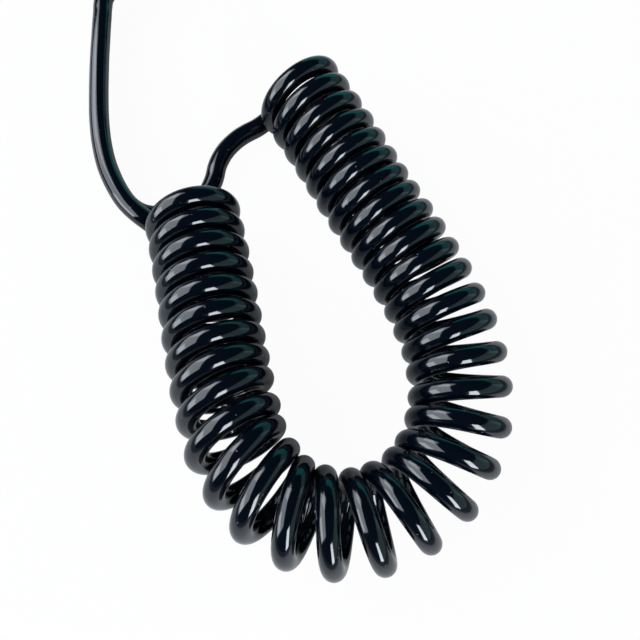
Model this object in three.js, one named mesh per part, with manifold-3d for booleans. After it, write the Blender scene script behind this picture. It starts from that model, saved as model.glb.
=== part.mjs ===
// A coiled microphone cable: a curly cord of 35 close-wound turns, a straight lead at each end, and a
// three-pole audio connector on each lead. Millimetres, +Z up, standing on z = 0.
import * as THREE from "three";
import { mergeVertices } from "three/addons/utils/BufferGeometryUtils.js";
import Module from "manifold-3d";

const wasm = await Module();
wasm.setup();

// ---- Driving dimensions, mm ----
const CORD_D = 6.3; // jacket of the curls and of both leads
const GAP = 0.3; // what touching pieces keep between their faces
const SHELL_R = 9.5; // metal shell of a connector, which lies on the table

// The coil: its axis at equal steps of winding, seen from above, from the first turn to the last.
const COIL_TURNS = 34.5;
const COIL_AXIS = [
  [-25.5, -49.2], [-22.8, -63.4], [-20.4, -77.2], [-18.1, -91.6], [-15.3, -106.1], [-10.4, -122.8],
  [1.8, -137.3], [21.5, -141.4], [40.3, -132.3], [50.7, -114.9], [52.2, -96.3], [48.3, -80.1],
  [42.2, -66.2], [35.5, -53.6], [28.6, -41.1], [22.1, -28.2], [15.1, -15.1], [7.8, -2.4],
];
const COIL_LEAN = [1, -1, -10, 1, 1, 1, -2, 1]; // degrees that the turns are sheared along the axis
const COIL_TIP = [-8, -6, -5, -5, -8, -6, -6, 0]; // degrees that their tops are tipped along it
const COIL_R_FIRST = 11.55; // from the coil's axis to the middle of the cord
const COIL_R_LAST = 12.3;
const COIL_FIRST_ANGLE = -112.5; // degrees round the axis where the winding begins and ends
const COIL_LAST_ANGLE = 34 * 360 + 270;
const CURL_STEPS = 8;
const CURL_PLAY = 0.7; // what the curls' flanks leave out, so that touching turns stay apart
const COIL_FLAT = CORD_D / 10; // cut off the underside, where the turns stand

// The leads: points that each follows from its curl to its connector, whose axis ends the list.
const LEAD_SIDES = 10;
const LEAD_STEP = 2 * CORD_D;
const LEAD_LOW = CORD_D / 2 + 0.1; // middle of a lead that lies on the table
const LEAD_HIGH = LEAD_LOW + CORD_D + GAP; // and of one that lies on the other lead
const MALE_ENTRY = [-32.6, 84.9]; // where the start lead enters its boot, from above
const FEMALE_ENTRY = [-58.6, 71.9];
const START_ROUTE = [
  [-41, -47.1, 9.3], [-45.2, -43.5, LEAD_HIGH], [-48.2, -39.5, LEAD_HIGH], [-52.5, -30.8, LEAD_HIGH],
  [-55, -22, LEAD_HIGH], [-56.5, -12.8, LEAD_HIGH], [-57.3, -3.4, LEAD_HIGH], [-58, 10.9, LEAD_HIGH],
  [-58.2, 20.9, LEAD_HIGH], [-58.3, 29.9, LEAD_HIGH], [-57.4, 38.2, 9.7], [-53.4, 47.4, 9.2],
  [-46.8, 55.1, 8.8], [-39.5, 61.8, 8.9], [-34.4, 69, 9.3], [-32.6, 75.9, SHELL_R],
];
const END_ROUTE = [
  [-5.4, -8.8, LEAD_LOW], [-9.3, -11.3, LEAD_LOW], [-12.4, -13.9, LEAD_LOW], [-16, -18.3, LEAD_LOW],
  [-18.5, -23.8, LEAD_LOW], [-19.7, -29.5, LEAD_LOW], [-22, -35.1, LEAD_LOW], [-26, -40, LEAD_LOW],
  [-31.4, -42.4, LEAD_LOW], [-37.3, -43.2, LEAD_LOW], [-43.1, -42, LEAD_LOW], [-48.4, -37.2, LEAD_LOW],
  [-53.6, -26.8, LEAD_LOW], [-56.4, -17.5, LEAD_LOW], [-57.9, -8.1, LEAD_LOW], [-58.7, 1.5, LEAD_LOW],
  [-59.4, 16.5, LEAD_LOW], [-59.8, 26.9, LEAD_LOW], [-59.9, 35.9, LEAD_LOW], [-59.5, 43.9, 3.9],
  [-58.9, 51.1, 6.1], [-58.6, 57.1, 8.5], [-58.6, 62.8, SHELL_R],
];

// Both connectors. Places along them are measured back from the mating rim.
const ROUND = 24; // sides of a turned part
const SHELL_L = 42;
const SHELL_WALL = 1.2; // round the insert and the clamp
const SHELL_BORE = SHELL_R - SHELL_WALL;
const EDGE = 0.4; // chamfer of the shell's ends
const SOCKET_DEPTH = 17;
const SOCKET_WALL = 1.35;
const SOCKET_R = SHELL_R - SOCKET_WALL; // the male shell's open end
const SOCKET_PLAY = 0.25; // round a nose in a socket
const NOSE_R = SOCKET_R - SOCKET_PLAY; // the female shell's front, which enters a socket
const NOSE_WALL = 0.9;
const NOSE_BORE = NOSE_R - NOSE_WALL;
const NOSE_L = SOCKET_DEPTH - GAP;
const FLANGE_T = 1.5; // step in a shell that the insert's shoulder meets
const FLANGE_REACH = 1.15; // how far that step reaches inwards
const BOSS_R = SOCKET_R - FLANGE_REACH; // front of the male insert
const KEY_W = 2; // rib in the socket that steers the nose
const KEY_H = 0.5;
const KEY_FRONT = 2; // where the rib begins
const CLAMP_ROOM = 12; // from the front of the cable clamp to the shell's rear rim
const CHUCK_FRONT = SHELL_L - CLAMP_ROOM;
const CUP_ROOM = 5; // from the male insert's rear face to the clamp
const INSERT_BACK = CHUCK_FRONT - CUP_ROOM;
const INSERT_SKIRT = 2; // how far its rim runs on behind that face
const SKIRT_WALL = 1.3;
const FEMALE_BACK = CHUCK_FRONT - 1; // rear face of the female insert
const FEMALE_WIDE = 5; // length of its wide rear part
const FEMALE_STEP = FEMALE_BACK - FEMALE_WIDE;

// The poles: pins or contacts on one circle, 1 and 2 above the middle and 3 below.
const POLE_INSET = 2.85; // from the edge of the insert's front
const POLE_CIRCLE_R = BOSS_R - POLE_INSET;
const POLE_RISE = 15; // degrees that poles 1 and 2 lie above the level of the axis
const PIN_R = 1.2;
const PIN_TIP = 4.5; // tip of a pin behind the rim
const PIN_POINT = 1.2; // length of its taper
const PIN_PLAY = 0.05; // round a pin in its contact
const CUP_R = 1.7; // solder cup, and the body of a female contact
const CUP_BORE = 1.1;
const CUP_REACH = 2.5; // how far the cups reach into the clamp
const CUP_END = CHUCK_FRONT + CUP_REACH;
const CUP_DEPTH = 3.6;
const CUP_FLOOR = CUP_END - CUP_DEPTH;
const CONTACT_FRONT = 3.5;
const CONTACT_DEPTH = 15.5; // of the hole that a pin enters
const POLE_SIDES = 12;
const CORE_R = 0.8; // insulated core between the cord and a cup
const CORE_LAY = 1.3; // radius that the cores lie on inside the jacket
const CORE_SIDES = 8;
const CORE_STEP = 1.5;
const JACKET_IN = 2; // how far the cord's jacket reaches into the shell
const JACKET_END = SHELL_L - JACKET_IN;
const CORE_START = JACKET_END - GAP;
const CORE_SPREAD = 0.7; // share of a core's way to its cup where it has spread by CORE_SPREAD_DONE
const CORE_SPREAD_DONE = 0.72;

// Cable clamp and boot.
const CORD_BORE = CORD_D / 2 + GAP;
const BOOT_LIP = 5.8; // length of the boot's screwed front, inside the shell
const BOOT_LIP_WALL = 1.8;
const BOOT_LIP_R = SHELL_BORE - GAP;
const BOOT_BORE = BOOT_LIP_R - BOOT_LIP_WALL;
const BOOT_R = SHELL_R - 0.2;
const BOOT_STRAIGHT = 7.5;
const BOOT_TAPER = SHELL_L + BOOT_STRAIGHT; // where the boot begins to narrow
const BOOT_L = 30; // behind the shell
const BOOT_BACK = SHELL_L + BOOT_L;
const BOOT_TIP_R = 4.9;
const BOOT_RINGS = 6;
const BOOT_RING_DEEP = 0.6;
const CHUCK_R = SHELL_BORE - 2 * GAP;
const CHUCK_SHOULDER = SHELL_L - BOOT_LIP - GAP; // which the boot's lip presses
const JAWS_L = 5; // behind the shell
const CHUCK_BACK = SHELL_L + JAWS_L;
const CHUCK_BORE = POLE_CIRCLE_R + CUP_R + 2 * GAP;
const CHUCK_TAIL_R = BOOT_BORE - GAP; // its jaws, at the shoulder
const CHUCK_TAPER = 0.8; // how much narrower they are at their ends
const CHUCK_SLIT = 0.8;
const CHUCK_SLIT_RUN = 2; // how far the slit runs on in front of the shoulder

// The latch of the female connector, at its top.
const LATCH_W = 4.6;
const LATCH_BACK = CHUCK_FRONT - 2 * GAP;
const LATCH_FRONT = 6;
const LATCH_ARM_T = 1.5;
const LATCH_RISE = 0.6; // of its hook above the nose, and of the nose above its arm
const LATCH_ARM = NOSE_R - LATCH_RISE; // top of its arm, above the connector's axis
const LATCH_UNDER = LATCH_ARM - LATCH_ARM_T; // its lower face
const LATCH_HOOK = NOSE_R + LATCH_RISE; // top of its hook
const LATCH_HOOK_L = 2.6;
const LATCH_RAMP = 1.2; // length of the slope at the hook's front
const LATCH_PROUD = 0.9; // of its thumb pad above the shell
const LATCH_PAD = SHELL_R + LATCH_PROUD;
const LATCH_PAD_L = 9.2;
const LATCH_WING = 1.1; // how far its wings reach past its sides
const LATCH_WING_L = 4.8;
const LATCH_WING_T = 1.4;
const LATCH_TRAVEL = 1.6;
const LATCH_FLOOR = LATCH_UNDER - LATCH_TRAVEL - GAP; // of the pocket under the latch
const SLOT_HALF = LATCH_W / 2 + GAP;
const SPRING_R = 0.95; // middle of the wire
const SPRING_WIRE = 0.4;
const SPRING_TURNS = 6;
const SPRING_FLOOR = -1.4; // bottom of its well
const SPRING_PLACE = LATCH_BACK - 3.4;

// ---- Finishes ----
function finish(color, roughness, metalness) {
  return new THREE.MeshStandardMaterial({ color, roughness, metalness });
}

const jacket = finish(0x0c0f11, 0.22, 0);
const nickel = finish(0xa9a8a3, 0.34, 1);
const silver = finish(0xc9c6bd, 0.25, 1);
const springSteel = finish(0x8f9192, 0.3, 1);
const blackPlastic = finish(0x121314, 0.5, 0);
const bootRubber = finish(0x151617, 0.6, 0);
const coreColours = [
  finish(0x9c9a94, 0.45, 0.8),
  finish(0xa32020, 0.45, 0),
  finish(0xd9d6cc, 0.45, 0),
];

// ---- Ways of making a piece ----
// A closed body from a geometry, with its seams welded.
function body(geometry) {
  const bare = geometry.clone();
  bare.deleteAttribute("normal");
  bare.deleteAttribute("uv");
  const welded = mergeVertices(bare, 1e-4);
  const index = welded.index.array;
  const triangles = [];
  for (let i = 0; i < index.length; i += 3) {
    const [a, b, c] = [index[i], index[i + 1], index[i + 2]];
    if (a !== b && b !== c && c !== a) triangles.push(a, b, c);
  }
  const vertProperties = new Float32Array(welded.attributes.position.array);
  const triVerts = new Uint32Array(triangles);
  return new wasm.Manifold(new wasm.Mesh({ numProp: 3, vertProperties, triVerts }));
}

function geometryOf(solid) {
  const mesh = solid.getMesh();
  const geometry = new THREE.BufferGeometry();
  geometry.setAttribute("position", new THREE.BufferAttribute(new Float32Array(mesh.vertProperties), 3));
  geometry.setIndex(new THREE.BufferAttribute(new Uint32Array(mesh.triVerts), 1));
  geometry.computeVertexNormals();
  return geometry;
}

// A body turned about the Y axis from a closed outline of [radius, place behind the rim].
function turned(outline, sides = ROUND) {
  const points = outline.map(([radius, back]) => new THREE.Vector2(radius, -back));
  if (THREE.ShapeUtils.area(points) < 0) points.reverse();
  points.push(points[0].clone());
  return body(new THREE.LatheGeometry(points, sides));
}

function box(low, high) {
  const size = high.map((value, i) => value - low[i]);
  const geometry = new THREE.BoxGeometry(...size);
  geometry.translate(...low.map((value, i) => value + size[i] / 2));
  return body(geometry);
}

// An outline of [place behind the rim, height], as wide as given and centred on x = 0.
function plate(outline, width) {
  const shape = new THREE.Shape(outline.map(([back, height]) => new THREE.Vector2(-back, height)));
  const geometry = new THREE.ExtrudeGeometry(shape, { depth: width, bevelEnabled: false });
  geometry.translate(0, 0, -width / 2);
  const [x, y, z] = [0, 1, 2].map((i) => new THREE.Vector3().setComponent(i, 1));
  geometry.applyMatrix4(new THREE.Matrix4().makeBasis(y, z, x));
  return body(geometry);
}

function tube(points, radius, sides, step) {
  const path = new THREE.CatmullRomCurve3(points);
  const steps = Math.max(2, Math.round(path.getLength() / step));
  const ring = [];
  for (let i = 0; i < sides; i += 1) {
    const angle = (2 * Math.PI * i) / sides;
    ring.push(new THREE.Vector2(radius * Math.cos(angle), radius * Math.sin(angle)));
  }
  return new THREE.ExtrudeGeometry(new THREE.Shape(ring), { steps, bevelEnabled: false, extrudePath: path });
}

function piece(name, geometry, material) {
  const mesh = new THREE.Mesh(geometry, material);
  mesh.name = name;
  return mesh;
}

// A tube of any section along given rings of points, closed by a fan at each end.
function strand(rings) {
  const sides = rings[0].length;
  const index = [];
  for (let i = 0; i + 1 < rings.length; i += 1) {
    for (let k = 0; k < sides; k += 1) {
      const a = i * sides + k;
      const b = i * sides + ((k + 1) % sides);
      index.push(a, b, b + sides, a, b + sides, a + sides);
    }
  }
  const last = (rings.length - 1) * sides;
  for (let k = 1; k + 1 < sides; k += 1) {
    index.push(0, k + 1, k, last, last + k, last + k + 1);
  }
  const geometry = new THREE.BufferGeometry().setFromPoints(rings.flat());
  geometry.setIndex(index);
  return geometry;
}

// Least distance from points on each turn of a winding to the faces of the next.
function leastTurnGap(rings, steps) {
  const sides = rings[0].length;
  const face = new THREE.Triangle();
  const sample = new THREE.Vector3();
  const nearest = new THREE.Vector3();
  let least = Infinity;
  for (let i = 0; i + 1 < rings.length; i += 1) {
    for (let k = 0; k < sides * 4; k += 1) {
      const side = k % sides;
      sample.lerpVectors(rings[i][side], rings[i + 1][side], Math.floor(k / sides) / 4);
      for (let j = i + steps - 2; j <= i + steps + 2 && j + 1 < rings.length; j += 1) {
        for (let m = 0; m < sides; m += 1) {
          const next = (m + 1) % sides;
          face.set(rings[j][m], rings[j][next], rings[j + 1][next]);
          least = Math.min(least, face.closestPointToPoint(sample, nearest).distanceTo(sample));
          face.set(rings[j][m], rings[j + 1][next], rings[j + 1][m]);
          least = Math.min(least, face.closestPointToPoint(sample, nearest).distanceTo(sample));
        }
      }
    }
  }
  return least;
}

// ---- Curly cord ----
// A smooth value at place t of a list of equally spaced ones, which runs on past either end.
function smooth(list, t) {
  const i = Math.min(Math.max(Math.floor(t), 0), list.length - 2);
  const w = t - i;
  const [b, c] = [list[i], list[i + 1]];
  const a = i > 0 ? list[i - 1] : 2 * b - c;
  const d = i + 2 < list.length ? list[i + 2] : 2 * c - b;
  const out = (c - a) / 2;
  const into = (d - b) / 2;
  return b + out * w + (3 * (c - b) - 2 * out - into) * w * w + (2 * (b - c) + out + into) * w ** 3;
}

const axisX = COIL_AXIS.map(([x]) => x);
const axisY = COIL_AXIS.map(([, y]) => y);
const NEAR = 0.01; // a small step of place or angle, to find a direction

function axisPoint(t) {
  return new THREE.Vector3(smooth(axisX, t), smooth(axisY, t), 0);
}

// The middle of the cord and the middle of its turn, at an angle of winding in radians.
function curlPoint(angle) {
  const u = angle / (2 * Math.PI * COIL_TURNS);
  const inside = THREE.MathUtils.clamp(u, 0, 1);
  const t = u * (COIL_AXIS.length - 1);
  const along = axisPoint(t + NEAR).sub(axisPoint(t - NEAR)).normalize();
  const across = new THREE.Vector3(-along.y, along.x, 0);
  const lean = THREE.MathUtils.degToRad(smooth(COIL_LEAN, inside * (COIL_LEAN.length - 1)));
  const tip = THREE.MathUtils.degToRad(smooth(COIL_TIP, inside * (COIL_TIP.length - 1)));
  const radius = THREE.MathUtils.lerp(COIL_R_FIRST, COIL_R_LAST, inside);
  const centre = axisPoint(t);
  centre.z = radius + CORD_D / 2;
  const level = across.multiplyScalar(Math.cos(lean)).addScaledVector(along, Math.sin(lean));
  const upright = along.clone().multiplyScalar(Math.sin(tip));
  upright.z = Math.cos(tip);
  const point = centre.clone().addScaledVector(level, radius * Math.cos(angle));
  point.addScaledVector(upright, radius * Math.sin(angle));
  return { point, centre };
}

// The section across the cord: [along the coil's axis, outwards]. Its point faces out.
const CORD_R = CORD_D / 2;
const SIDE = CORD_R - CURL_PLAY / 2;
const CURL_SECTION = [
  [0, CORD_R + COIL_FLAT], [SIDE, 0.3 * CORD_R], [0.62 * SIDE, -0.9 * CORD_R],
  [-0.62 * SIDE, -0.9 * CORD_R], [-SIDE, 0.3 * CORD_R],
];

function curlRing(angle, onward) {
  const { point, centre } = curlPoint(angle);
  const ahead = curlPoint(angle + NEAR).point.sub(curlPoint(angle - NEAR).point).normalize();
  const axial = new THREE.Vector3().crossVectors(ahead, point.clone().sub(centre)).normalize();
  const outward = new THREE.Vector3().crossVectors(axial, ahead);
  const middle = point.addScaledVector(ahead, onward);
  const ring = CURL_SECTION.map(([a, b]) =>
    middle.clone().addScaledVector(axial, a).addScaledVector(outward, b));
  return { ring, middle, ahead };
}

function curlAngles() {
  const step = 360 / CURL_STEPS;
  const angles = [COIL_FIRST_ANGLE];
  for (let a = Math.floor(COIL_FIRST_ANGLE / step + 1) * step; a <= COIL_LAST_ANGLE; a += step) {
    angles.push(a);
  }
  return angles.map(THREE.MathUtils.degToRad);
}

const winding = curlAngles();
const coilStart = curlRing(winding[0], -CORD_D);
const coilEnd = curlRing(winding[winding.length - 1], CORD_D);
const curls = winding.map((angle) => curlRing(angle, 0).ring);
console.log(`least gap between the curls: ${leastTurnGap(curls, CURL_STEPS).toFixed(2)} mm`);

function curlyCord() {
  const cord = body(strand([coilStart.ring, ...curls, coilEnd.ring]));
  const far = COIL_TURNS * CORD_D;
  const table = box([-far, -far, -CORD_D], [far, far, 0]);
  return piece("curly_cord", geometryOf(cord.subtract(table)), jacket);
}

// ---- Leads ----
// A lead starts square to the end of the coil and runs straight through the boot to the end of its jacket.
function lead(name, end, away, route, [x, y]) {
  const first = end.middle.clone().addScaledVector(end.ahead, away * GAP);
  first.z = Math.max(first.z, LEAD_LOW);
  const second = first.clone().addScaledVector(end.ahead, away * GAP * 10);
  second.z = Math.max(second.z, LEAD_LOW);
  const points = [first, second, ...route.map((place) => new THREE.Vector3(...place))];
  for (const share of [0, 0.5, 1]) {
    points.push(new THREE.Vector3(x, y + share * (BOOT_BACK - JACKET_END), SHELL_R));
  }
  return piece(name, tube(points, CORD_R, LEAD_SIDES, LEAD_STEP), jacket);
}

// ---- Parts that both connectors have ----
const poleAngles = [POLE_RISE, 180 - POLE_RISE, 270].map(THREE.MathUtils.degToRad);

// Places of poles 1, 2 and 3 across the connector. They are mirrored where side is -1.
function polePlaces(side, radius) {
  return poleAngles.map((angle) => [side * radius * Math.cos(angle), radius * Math.sin(angle)]);
}

// A place on a core's way: how far it has spread to its cup, and how far along it is.
function coreRadius(spread) {
  return THREE.MathUtils.lerp(CORE_LAY, POLE_CIRCLE_R, spread);
}

function coreBack(share) {
  return THREE.MathUtils.lerp(CORE_START, CUP_END + GAP, share);
}

function chuck(name) {
  const clear = CORE_R + 2 * GAP;
  const ring = turned([
    [CHUCK_R, CHUCK_FRONT], [CHUCK_R, CHUCK_SHOULDER], [CHUCK_TAIL_R, CHUCK_SHOULDER],
    [CHUCK_TAIL_R - CHUCK_TAPER, CHUCK_BACK], [CORD_BORE, CHUCK_BACK], [CORD_BORE, JACKET_END - GAP],
    [coreRadius(CORE_SPREAD_DONE) + clear, coreBack(CORE_SPREAD)], [coreRadius(1) + clear, coreBack(1)],
    [CHUCK_BORE, coreBack(1)], [CHUCK_BORE, CHUCK_FRONT],
  ]);
  const half = CHUCK_SLIT / 2;
  const slit = box([-half, -CHUCK_BACK - 1, 0], [half, CHUCK_SLIT_RUN - CHUCK_SHOULDER, CHUCK_R + 1]);
  return piece(name, geometryOf(ring.subtract(slit)), blackPlastic);
}

function boot(name) {
  const shoulder = SHELL_L + GAP;
  const outline = [
    [BOOT_BORE, shoulder - BOOT_LIP], [BOOT_LIP_R, shoulder - BOOT_LIP], [BOOT_LIP_R, shoulder],
    [BOOT_R - EDGE, shoulder], [BOOT_R, shoulder + EDGE], [BOOT_R, BOOT_TAPER],
  ];
  const pitch = (BOOT_BACK - BOOT_TAPER) / (BOOT_RINGS + 1);
  const radiusAt = (back) =>
    THREE.MathUtils.mapLinear(back, BOOT_TAPER, BOOT_BACK, BOOT_R - 1, BOOT_TIP_R);
  for (let i = 0; i < BOOT_RINGS; i += 1) {
    const back = BOOT_TAPER + pitch * (i + 0.7);
    outline.push([radiusAt(back), back], [radiusAt(back) - BOOT_RING_DEEP, back + pitch * 0.15]);
    outline.push([radiusAt(back) - BOOT_RING_DEEP, back + pitch * 0.4]);
    outline.push([radiusAt(back + pitch * 0.55), back + pitch * 0.55]);
  }
  outline.push([BOOT_TIP_R, BOOT_BACK - EDGE], [BOOT_TIP_R - EDGE, BOOT_BACK], [CORD_BORE, BOOT_BACK]);
  outline.push([CORD_BORE, CHUCK_BACK + 5 * GAP], [BOOT_BORE, CHUCK_BACK + GAP]);
  return piece(name, geometryOf(turned(outline)), bootRubber);
}

// The cores leave the jacket side by side and spread to their solder cups.
function cores(prefix, side) {
  return polePlaces(side, 1).map(([x, z], i) => {
    const at = (spread, share) =>
      new THREE.Vector3(x * coreRadius(spread), -coreBack(share), z * coreRadius(spread));
    const cupFloor = new THREE.Vector3(x * POLE_CIRCLE_R, -CUP_FLOOR - GAP, z * POLE_CIRCLE_R);
    const points = [at(0, 0), at(0.08, 0.22), at(CORE_SPREAD_DONE, CORE_SPREAD), at(1, 1), cupFloor];
    return piece(`${prefix}_core_${i + 1}`, tube(points, CORE_R, CORE_SIDES, CORE_STEP), coreColours[i]);
  });
}

function cableEnd(prefix, side) {
  return [chuck(`${prefix}_chuck`), boot(`${prefix}_boot`), ...cores(prefix, side)];
}

// ---- Male connector ----
function maleShell() {
  const shell = turned([
    [SOCKET_R, 0], [SHELL_R - EDGE, 0], [SHELL_R, EDGE], [SHELL_R, SHELL_L - EDGE],
    [SHELL_R - EDGE, SHELL_L], [SHELL_BORE, SHELL_L], [SHELL_BORE, SOCKET_DEPTH + FLANGE_T],
    [BOSS_R + GAP, SOCKET_DEPTH + FLANGE_T],
    [BOSS_R + GAP, SOCKET_DEPTH], [SOCKET_R, SOCKET_DEPTH],
  ]);
  const key = box([-KEY_W / 2, -NOSE_L, -SOCKET_R - GAP], [KEY_W / 2, -KEY_FRONT, KEY_H - SOCKET_R]);
  const reach = NOSE_L - LATCH_FRONT; // how deep the latch's hook comes to lie
  const pocket = box(
    [-SLOT_HALF, -reach - GAP, 0],
    [SLOT_HALF, LATCH_HOOK_L + GAP - reach, LATCH_HOOK + GAP],
  );
  return piece("male_shell", geometryOf(shell.add(key).subtract(pocket)), nickel);
}

function maleInsert() {
  const shoulder = SOCKET_DEPTH + FLANGE_T + GAP;
  const rim = INSERT_BACK + INSERT_SKIRT;
  const outer = SHELL_BORE - GAP;
  let insert = turned([
    [0, SOCKET_DEPTH], [BOSS_R, SOCKET_DEPTH], [BOSS_R, shoulder], [outer, shoulder], [outer, rim],
    [outer - SKIRT_WALL, rim], [outer - SKIRT_WALL, INSERT_BACK], [0, INSERT_BACK],
  ]);
  const hole = turned([[0, 0], [PIN_R + GAP, 0], [PIN_R + GAP, rim + 1], [0, rim + 1]], POLE_SIDES);
  for (const [x, z] of polePlaces(1, POLE_CIRCLE_R)) {
    insert = insert.subtract(hole.translate([x, 0, z]));
  }
  return piece("male_insert", geometryOf(insert), blackPlastic);
}

function malePins() {
  const back = INSERT_BACK + GAP;
  const pin = turned([
    [0, PIN_TIP], [PIN_R / 2, PIN_TIP + PIN_POINT / 6], [PIN_R, PIN_TIP + PIN_POINT], [PIN_R, back],
    [CUP_R, back], [CUP_R, CUP_END], [CUP_BORE, CUP_END], [CUP_BORE, CUP_FLOOR], [0, CUP_FLOOR],
  ], POLE_SIDES);
  return polePlaces(1, POLE_CIRCLE_R).map(([x, z], i) =>
    piece(`male_pin_${i + 1}`, geometryOf(pin.translate([x, 0, z])), silver));
}

// ---- Female connector ----
function femaleShell() {
  const shell = turned([
    [NOSE_BORE, 0], [NOSE_R - EDGE, 0], [NOSE_R, EDGE], [NOSE_R, NOSE_L], [SHELL_R - EDGE, NOSE_L],
    [SHELL_R, NOSE_L + EDGE], [SHELL_R, SHELL_L - EDGE], [SHELL_R - EDGE, SHELL_L], [SHELL_BORE, SHELL_L],
    [SHELL_BORE, FEMALE_STEP - GAP], [NOSE_BORE, FEMALE_STEP - GAP],
  ]);
  const slot = box([-SLOT_HALF, -LATCH_BACK - GAP, 0], [SLOT_HALF, -LATCH_FRONT + GAP, SHELL_R + 1]);
  const keyway = box(
    [-KEY_W / 2 - GAP, -NOSE_L, -NOSE_R - 1],
    [KEY_W / 2 + GAP, 1, -SOCKET_R + KEY_H + GAP],
  );
  return piece("female_shell", geometryOf(shell.subtract(slot).subtract(keyway)), nickel);
}

function femaleInsert() {
  const front = 2 * GAP;
  const outer = SHELL_BORE - GAP;
  let insert = turned([
    [0, front], [NOSE_BORE - GAP, front], [NOSE_BORE - GAP, FEMALE_STEP], [outer, FEMALE_STEP],
    [outer, FEMALE_BACK], [0, FEMALE_BACK],
  ]);
  const mouth = PIN_R + GAP;
  const hole = turned([
    [0, -1], [mouth, -1], [mouth, CONTACT_FRONT - GAP], [CUP_R + GAP, CONTACT_FRONT - GAP],
    [CUP_R + GAP, FEMALE_BACK + 1], [0, FEMALE_BACK + 1],
  ], POLE_SIDES);
  for (const [x, z] of polePlaces(-1, POLE_CIRCLE_R)) {
    insert = insert.subtract(hole.translate([x, 0, z]));
  }
  const wingHalf = SLOT_HALF + LATCH_WING;
  const wingFront = LATCH_BACK - LATCH_WING_L - GAP;
  const behind = -FEMALE_BACK - 1;
  insert = insert.subtract(box([-SLOT_HALF, behind, LATCH_FLOOR], [SLOT_HALF, GAP - LATCH_FRONT, SHELL_R]));
  insert = insert.subtract(box([-wingHalf, behind, LATCH_FLOOR], [wingHalf, -wingFront, SHELL_R]));
  const well = new THREE.CylinderGeometry(1, 1, 1, POLE_SIDES);
  const wellR = SPRING_R + SPRING_WIRE / 2 + GAP;
  well.scale(wellR, SHELL_R - SPRING_FLOOR, wellR);
  well.rotateX(Math.PI / 2);
  well.translate(0, -SPRING_PLACE, (SHELL_R + SPRING_FLOOR) / 2);
  return piece("female_insert", geometryOf(insert.subtract(body(well))), blackPlastic);
}

function femaleContacts() {
  const contact = turned([
    [PIN_R + PIN_PLAY, CONTACT_FRONT], [CUP_R, CONTACT_FRONT], [CUP_R, CUP_END], [CUP_BORE, CUP_END],
    [CUP_BORE, CUP_FLOOR], [0, CUP_FLOOR], [0, CONTACT_FRONT + CONTACT_DEPTH],
    [PIN_R + PIN_PLAY, CONTACT_FRONT + CONTACT_DEPTH],
  ], POLE_SIDES);
  return polePlaces(-1, POLE_CIRCLE_R).map(([x, z], i) =>
    piece(`female_contact_${i + 1}`, geometryOf(contact.translate([x, 0, z])), silver));
}

function latchButton() {
  const hookBack = LATCH_FRONT + LATCH_HOOK_L;
  const padFront = LATCH_BACK - LATCH_PAD_L;
  const bar = plate([
    [LATCH_BACK, LATCH_UNDER], [LATCH_BACK, LATCH_PAD - EDGE], [LATCH_BACK - EDGE, LATCH_PAD],
    [padFront + EDGE, LATCH_PAD], [padFront, LATCH_PAD - EDGE], [padFront, LATCH_ARM],
    [hookBack, LATCH_ARM], [hookBack, LATCH_HOOK], [LATCH_FRONT + LATCH_RAMP, LATCH_HOOK],
    [LATCH_FRONT, LATCH_ARM], [LATCH_FRONT, LATCH_UNDER],
  ], LATCH_W);
  const wing = LATCH_W / 2 + LATCH_WING;
  const wings = box(
    [-wing, -LATCH_BACK, LATCH_UNDER],
    [wing, LATCH_WING_L - LATCH_BACK, LATCH_UNDER + LATCH_WING_T],
  );
  return piece("latch_button", geometryOf(bar.add(wings)), nickel);
}

function latchSpring() {
  const low = SPRING_FLOOR + GAP + SPRING_WIRE / 2;
  const high = LATCH_UNDER - GAP - SPRING_WIRE / 2;
  const rings = [];
  const steps = SPRING_TURNS * CURL_STEPS;
  for (let i = 0; i <= steps; i += 1) {
    const angle = (2 * Math.PI * i) / CURL_STEPS;
    const outward = new THREE.Vector3(Math.cos(angle), Math.sin(angle), 0);
    const up = new THREE.Vector3(0, 0, 1);
    const middle = outward.clone().multiplyScalar(SPRING_R);
    middle.y -= SPRING_PLACE;
    middle.z = THREE.MathUtils.lerp(low, high, i / steps);
    const corners = [0, 1, 2, 3, 4].map((k) => (2 * Math.PI * k) / 5);
    rings.push(corners.map((corner) => middle.clone()
      .addScaledVector(outward, (SPRING_WIRE / 2) * Math.cos(corner))
      .addScaledVector(up, (-SPRING_WIRE / 2) * Math.sin(corner))));
  }
  console.log(`least gap between the spring's turns: ${leastTurnGap(rings, CURL_STEPS).toFixed(2)} mm`);
  return piece("latch_spring", strand(rings), springSteel);
}

// ---- The cable, put together ----
function placed(pieces, [x, y]) {
  const group = new THREE.Group();
  group.position.set(x, y + BOOT_BACK, SHELL_R);
  group.add(...pieces);
  return group;
}

const cable = new THREE.Group();
cable.add(curlyCord());
cable.add(lead("start_lead", coilStart, -1, START_ROUTE, MALE_ENTRY));
cable.add(lead("end_lead", coilEnd, 1, END_ROUTE, FEMALE_ENTRY));
cable.add(placed([maleShell(), maleInsert(), ...malePins(), ...cableEnd("male", 1)], MALE_ENTRY));
cable.add(placed([
  femaleShell(), femaleInsert(), ...femaleContacts(), latchButton(), latchSpring(), ...cableEnd("female", -1),
], FEMALE_ENTRY));

export default cable;
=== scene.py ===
import math

import bmesh
import bpy
import numpy as np
from mathutils import Matrix, Vector


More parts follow.
